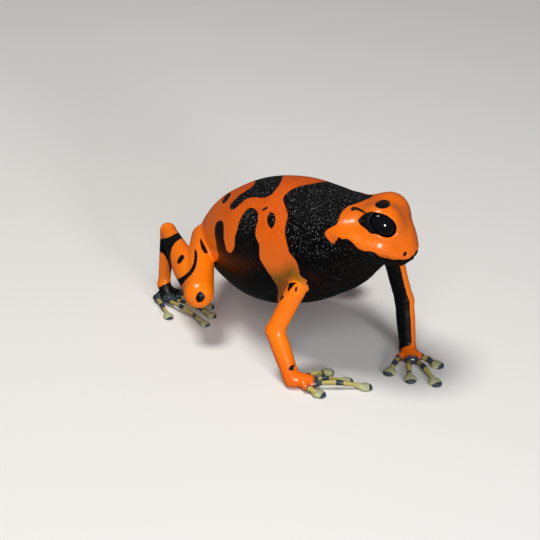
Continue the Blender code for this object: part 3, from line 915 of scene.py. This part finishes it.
def limb_markings(skin, orange, back):
    """The body's markings with those of the limbs over them, and how surely a point is on a limb."""
    plain = np.full(len(orange), ORANGE_ALL)
    thighs = cut_out(plain, skin.as_right, THIGH_BLACKS)
    shanks = cut_out(plain, skin.as_right, SHANK_BLACKS)
    arms = arm_markings(skin)
    limb = np.zeros(len(orange))
    for side in (RIGHT, LEFT):
        name = side_name(side)
        thigh, shank, foot = (skin.gaps[f"{part}_{name}"] for part in ("thigh", "shank", "foot"))
        arm, hand = (skin.gaps[f"{part}_{name}"] for part in ("arm", "hand"))
        on_thigh = smooth_step(skin.body_gap - thigh, 0.1, 0.5)
        orange = mix(orange, thighs, on_thigh)
        on_shank = smooth_step(np.minimum(skin.body_gap, thigh) - shank, -0.04, 0.04)
        orange = mix(orange, shanks, on_shank)
        on_foot = smooth_step(shank - foot, 0.35, 0.6)
        orange = mix(orange, -1.0, on_foot)
        on_arm = smooth_step(skin.body_gap - arm, -0.2, 0.2)
        near_trunk = away_from(skin.points, SHOULDER[side]) < SHOULDER_REACH
        orange = mix(orange, np.where(near_trunk, np.maximum(arms, back), arms), on_arm)
        on_hand = smooth_step(arm - hand, -0.2, 0.2) * (hand < 1.0)
        orange = mix(orange, HAND_ORANGE, on_hand)
        limb = np.max([limb, on_thigh, on_shank, on_arm, on_hand], axis=0)
    return orange, limb


def paint(points, normals, body):
    """What the skin's material needs at each point."""
    skin = SkinPoints(points, normals, body)
    back = back_markings(skin)
    orange, limb = limb_markings(skin, body_markings(skin, back), back)
    for side in (RIGHT, LEFT):
        orange = np.minimum(orange, away_from(points, head_place(NOSTRIL, side)) - BLACK_ROUND)
        orange = np.minimum(orange, away_from(points, eye_centre(side)) - EYE_RADIUS - BLACK_ROUND)
    dark, out, pale = digit_bands(points, body, skin.gaps)
    forward, height, up = points[:, 0], points[:, 2], normals[:, 2]
    olive = smooth_step(within(skin.as_right, BAND_FOOT_OLIVE), -1.0, 1.2)
    olive *= (skin.gaps["trunk"] < 0.6) & (height > 3)
    # a darker, redder orange over the upper back: partly the skin's own tone, partly painted shade
    deep_and_shaded = smooth_step(height, 9.0, 19.0) * (1 - limb) * (1 - 0.6 * skin.on_head)
    # painted shade: the forearms and hands darken towards the floor
    forearm = (forward > -8) & (limb > 0.5)
    deep_and_shaded = np.maximum(deep_and_shaded, FOREARM_PAINTED_SHADE * forearm * (1 - smooth_step(height, 1.5, 6.0)))
    under = smooth_step(-up, 0.1, 0.7) * (1 - limb)
    creased = np.maximum(within(skin.pixels, CHEST_CREASED), within(skin.mirrored, CHEST_CREASED))
    creased = smooth_step(creased, -0.5, 1.0) * (1 - limb)
    # where the skin is granular, and where its granule tops carry painted glints: high up and on the
    # upward-facing side, where the light catches them
    grain_and_glints = smooth_step(height + 4.0 * up, 15.0, 19.0) * (1 - 0.8 * limb) * (1 - 0.75 * skin.on_head)
    # the lids are smooth
    for side in (RIGHT, LEFT):
        grain_and_glints *= smooth_step(away_from(points, eye_centre(side)) - LID_RADIUS, 0.1, 0.8)
    return {
        "orange": orange, "pale": pale, "dark": dark, "disc": smooth_step(out, 0.75, 0.95), "olive": olive,
        "deep_and_shaded": deep_and_shaded, "under": under, "creased": creased, "grain_and_glints": np.clip(grain_and_glints + 0.12, 0, 1),
    }


# Materials

class Value:
    """A shader socket that Python's own arithmetic works on."""

    def __init__(self, shader, socket):
        self.shader, self.socket = shader, socket

    def maths(self, operation, *others):
        return self.shader.node("ShaderNodeMath", {"operation": operation}, *others)

    def __add__(self, other):
        return self.maths("ADD", self, other)

    def __sub__(self, other):
        return self.maths("SUBTRACT", self, other)

    def __rsub__(self, other):
        return self.maths("SUBTRACT", other, self)

    def __mul__(self, other):
        return self.maths("MULTIPLY", self, other)

    def limit(self):
        """Nothing below zero and nothing above one."""
        return self.shader.node("ShaderNodeMath", {"operation": "MAXIMUM", "use_clamp": True}, self, 0.0)

    def step(self, low, high):
        """Nothing below low, one above high, smooth between."""
        names = {"Value": self, "From Min": low, "From Max": high}
        return self.shader.node("ShaderNodeMapRange", {"interpolation_type": "SMOOTHSTEP"}, **names)


class Shader:
    """A material and the nodes that make it."""

    def __init__(self, name):
        self.material = bpy.data.materials.new(name)
        self.material.use_nodes = True
        self.tree = self.material.node_tree
        self.surface = self.tree.nodes["Principled BSDF"]

    def node(self, kind, settings, *places, out=0, **names):
        """A node of this kind: its settings first, then its inputs by place or by name."""
        made = self.tree.nodes.new(kind)
        for name, value in settings.items():
            setattr(made, name, value)
        for key, value in list(enumerate(places)) + list(names.items()):
            self.feed(made.inputs[key], value)
        return Value(self, made.outputs[out])

    def feed(self, socket, value):
        if isinstance(value, Value):
            self.tree.links.new(value.socket, socket)
        else:
            socket.default_value = value

    def blend(self, share, first, second):
        """Two colours mixed by share."""
        made = self.tree.nodes.new("ShaderNodeMix")
        made.data_type = "RGBA"
        self.feed(made.inputs[0], share)
        for socket, colour in ((made.inputs[6], first), (made.inputs[7], second)):
            self.feed(socket, colour if isinstance(colour, Value) else (*colour, 1.0))
        return Value(self, made.outputs[2])

    def attribute(self, name):
        return self.node("ShaderNodeAttribute", {"attribute_name": name}, out="Fac")

    def place(self):
        return self.node("ShaderNodeTexCoord", {}, out="Object")

    def noise(self, scale, detail, roughness=0.5):
        names = {"Vector": self.place(), "Scale": scale, "Detail": detail, "Roughness": roughness}
        return self.node("ShaderNodeTexNoise", {}, **names)

    def cells(self, scale):
        """How far it is to the middle of the nearest cell."""
        return self.node("ShaderNodeTexVoronoi", {}, **{"Vector": self.place(), "Scale": scale})

    def set(self, **names):
        """The surface's own inputs, by name."""
        for name, value in names.items():
            self.feed(self.surface.inputs[name.replace("_", " ")], value)


# Colours of the skin
# darker, redder orange: partly the upper back's own tone, partly painted shade
ORANGE_DEEP_AND_SHADED = (0.62, 0.078, 0.003)
ORANGE_BRIGHT = (0.86, 0.162, 0.002)
ORANGE_LIMB = (0.86, 0.185, 0.002)
OLIVE = (0.19, 0.082, 0.002)
BLACK_SKIN = (0.0012, 0.0012, 0.0014)
BLACK_BLUE = (0.002, 0.0022, 0.003)
BROWN_BELLY = (0.003, 0.0016, 0.001)
# the painted glint on granule tops
GRANULE_PAINTED_GLINT = (0.75, 0.72, 0.68)
TOE_PALE = (0.38, 0.32, 0.09)
TOE_DISC = (0.36, 0.37, 0.20)
TOE_DARK = (0.03, 0.04, 0.055)

# Scales of the skin's textures, per metre, and the height of a granule in metres
EDGE_SCALE = 2200.0
FLUSH_SCALE = 260.0
BLACK_SCALE = 900.0
GRANULE_SCALE = 3400.0
GRANULE_SIZE_SCALE = 1500.0
GLINT_PATCH_SCALE = 2600.0
FINE_SCALE = 9000.0
CREASE_SCALE = 1500.0
GRANULE_HEIGHT = 0.00009


def skin_material():
    shader = Shader("frog_skin")
    orange = shader.attribute("orange")
    pale = shader.attribute("pale")
    grain_and_glint_mask = shader.attribute("grain_and_glints")
    # the edges of the markings wander a little
    wander = (shader.noise(EDGE_SCALE, 3.0) - 0.5) * 0.12
    is_orange = (orange + wander).step(-0.05, 0.05)
    flush = shader.noise(FLUSH_SCALE, 3.0, 0.6).step(0.3, 0.7)
    orange_colour = shader.blend(flush, ORANGE_BRIGHT, ORANGE_LIMB)
    # painted shade with a deeper tone on the upper back, and painted shade on the forearms near the floor
    orange_colour = shader.blend(shader.attribute("deep_and_shaded") * (flush * 0.3 + 0.7), orange_colour, ORANGE_DEEP_AND_SHADED)
    orange_colour = shader.blend(shader.attribute("olive"), orange_colour, OLIVE)
    black_colour = shader.blend(shader.noise(BLACK_SCALE, 3.0).step(0.4, 0.7), BLACK_SKIN, BLACK_BLUE)
    black_colour = shader.blend(shader.attribute("under"), black_colour, BROWN_BELLY)
    # granules are round domes of uneven size, and the tops of some carry a painted glint
    spread = shader.cells(GRANULE_SCALE)
    domes = (1 - spread * spread * 4.0).limit() * (shader.noise(GRANULE_SIZE_SCALE, 1.0) * 0.6 + 0.7)
    glint_tops = (1.4 - spread * 4.5).limit()
    painted_glints = glint_tops * shader.noise(GLINT_PATCH_SCALE, 2.0, 0.8).step(0.38, 0.64) * grain_and_glint_mask
    colour = shader.blend(is_orange, black_colour, orange_colour)
    toes = shader.blend(shader.attribute("disc"), TOE_PALE, TOE_DISC)
    toes = shader.blend((shader.attribute("dark") + wander).step(0.35, 0.65), toes, TOE_DARK)
    colour = shader.blend(pale, colour, toes)
    colour = shader.blend(painted_glints * (0.42 - is_orange * 0.28), colour, GRANULE_PAINTED_GLINT)
    fine = shader.noise(FINE_SCALE, 2.0)
    grain_and_glints = (grain_and_glint_mask * 0.8 + 0.2) * (1 - is_orange * 0.45) * (1 - pale * 0.6)
    creases = shader.noise(CREASE_SCALE, 3.0, 0.55) * shader.attribute("creased")
    relief = domes * grain_and_glints + fine * 0.03 + creases * 0.5
    names = {"Strength": 1.0, "Distance": GRANULE_HEIGHT, "Height": relief}
    bump = shader.node("ShaderNodeBump", {}, **names)
    wet = is_orange * (1 - grain_and_glint_mask).limit() * 0.6
    shader.set(Base_Color=colour, Roughness=0.36 - is_orange * 0.06, Coat_Weight=wet, Normal=bump)
    shader.set(Specular_IOR_Level=0.25, Coat_Roughness=0.2)
    return shader.material


def eye_material():
    shader = Shader("eye_wet")
    shader.set(Base_Color=(0.003, 0.003, 0.004, 1.0), Roughness=0.06, Specular_IOR_Level=0.5)
    return shader.material


def floor_material():
    shader = Shader("pale_floor")
    tone = shader.blend(shader.noise(9.0, 4.0), (0.74, 0.73, 0.71), (0.80, 0.79, 0.77))
    shader.set(Base_Color=tone, Roughness=0.8)
    return shader.material


def to_world(points, shift):
    """Millimetres in the frog's frame to the world's metres."""
    points = np.asarray(points, float)
    return np.column_stack([points[:, 1] + shift[0], -points[:, 0] + shift[1], points[:, 2]]) * MM


def fold_heights(points, creased):
    """How far the skin of the throat and chest stands up or sinks in, in soft folds across the body."""
    heights = np.zeros(len(points))
    for k in np.flatnonzero(creased > 0.01):
        x, y, z = points[k] @ FOLD_AXES.T * FOLD_PACE
        large = abs(noise.noise(Vector((x, y, z))))
        small = abs(noise.noise(Vector((2 * x + 7, 2 * y, 2 * z))))
        heights[k] = (min(large + 0.5 * small, FOLD_TOP) - FOLD_LEVEL) * FOLD_HEIGHT * creased[k]
    return heights


def new_object(name, mesh):
    made = bpy.data.objects.new(name, mesh)
    bpy.context.scene.collection.objects.link(made)
    return made


def build_skin(frame, shift):
    body = grow_body()
    points, faces = surface_of(body)
    mesh = bpy.data.meshes.new("frog_skin")
    mesh.from_pydata(to_world(points, shift).tolist(), [], faces.tolist())
    mesh.shade_smooth()
    normals = np.zeros(len(points) * 3)
    mesh.vertices.foreach_get("normal", normals)
    # from the world's axes to the frog's
    normals = normals.reshape(-1, 3)
    normals = np.column_stack([-normals[:, 1], normals[:, 0], normals[:, 2]])
    painted = paint(points, normals, body)
    for name, values in painted.items():
        mesh.attributes.new(name, "FLOAT", "POINT").data.foreach_set("value", values.astype(np.float32))
    points += normals * fold_heights(points, painted["creased"])[:, None]
    mesh.vertices.foreach_set("co", to_world(points, shift).astype(np.float32).ravel())
    mesh.update()
    mesh.materials.append(skin_material())
    skin = new_object("frog_skin", mesh)
    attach(skin, "root")
    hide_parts(*[name for name in frame["nodes"] if not name.startswith("eye")])


def build_eyes(shift):
    wet = eye_material()
    for side in (RIGHT, LEFT):
        name = side_name(side)
        ball = bpy.data.meshes.new(f"eyeball_{name}")
        place = Matrix.Translation(to_world([eye_centre(side)], shift)[0])
        shape = bmesh.new()
        bmesh.ops.create_uvsphere(shape, u_segments=96, v_segments=48, radius=EYE_RADIUS * MM, matrix=place)
        shape.to_mesh(ball)
        shape.free()
        ball.shade_smooth()
        ball.materials.append(wet)
        eye = new_object(f"eyeball_{name}", ball)
        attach(eye, "root")
        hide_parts(f"eye_{name}")


def set_camera(shift):
    data = bpy.data.cameras.new("camera")
    camera = new_object("camera", data)
    turn = np.eye(4)
    for column, axis in enumerate((LENS.right, LENS.up, LENS.back)):
        turn[:3, column] = axis[1], -axis[0], axis[2]
    turn[:3, 3] = to_world([LENS.place], shift)[0]
    camera.matrix_world = Matrix(turn.tolist())
    data.sensor_width = SENSOR_WIDTH
    data.lens = SENSOR_WIDTH * PIXELS_PER_MM * CAMERA_DISTANCE / PHOTO_SIZE
    data.clip_start = 0.001
    bpy.context.scene.camera = camera


# Lamps: name, place, width, watts, colour, and whether wet skin mirrors the lamp
LAMPS = (
    ("key", (-35, -78, 290), 100, 0.62, (1.0, 0.97, 0.93), True),
    ("fill", (215, -153, 219), 200, 0.5, (0.97, 0.98, 1.0), False),
    ("catch", (280, -75, 75), 56, 0.42, (1.0, 1.0, 1.0), True),
)
LAMPS_AIM = (-6.0, 0.0, 12.0)
SKY_COLOUR = (0.85, 0.9, 1.0, 1.0)
SKY_STRENGTH = 0.06


def set_light(shift):
    aim = Vector(to_world([LAMPS_AIM], shift)[0])
    for name, place, size, power, colour, mirrored in LAMPS:
        data = bpy.data.lights.new(name, "AREA")
        data.shape = "DISK"
        data.energy = power
        data.size = size * MM
        data.color = colour
        lamp = new_object(name, data)
        lamp.location = to_world([place], shift)[0]
        lamp.visible_glossy = mirrored
        lamp.rotation_euler = (aim - lamp.location).to_track_quat("-Z", "Y").to_euler()
    world = bpy.data.worlds.new("studio")
    world.use_nodes = True
    sky = world.node_tree.nodes["Background"]
    sky.inputs["Color"].default_value = SKY_COLOUR
    sky.inputs["Strength"].default_value = SKY_STRENGTH
    bpy.context.scene.world = world
    bpy.context.scene.view_settings.view_transform = "Standard"


def set_floor():
    mesh = bpy.data.meshes.new("floor")
    # 4 metres each way
    mesh.from_pydata([(-2, -2, 0), (2, -2, 0), (2, 2, 0), (-2, 2, 0)], [], [(0, 1, 2, 3)])
    mesh.materials.append(floor_material())
    floor = new_object("floor", mesh)
    floor.visible_glossy = False


def main():
    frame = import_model()
    # the frog's own frame is laid on the model's by the middle of the right eye
    low, high = (np.array(corner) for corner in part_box("eye_right"))
    middle = (low + high) / 2 / MM
    centre = eye_centre(RIGHT)
    shift = (middle[0] - centre[1], middle[1] + centre[0])
    build_skin(frame, shift)
    build_eyes(shift)
    set_camera(shift)
    set_light(shift)
    set_floor()


main()
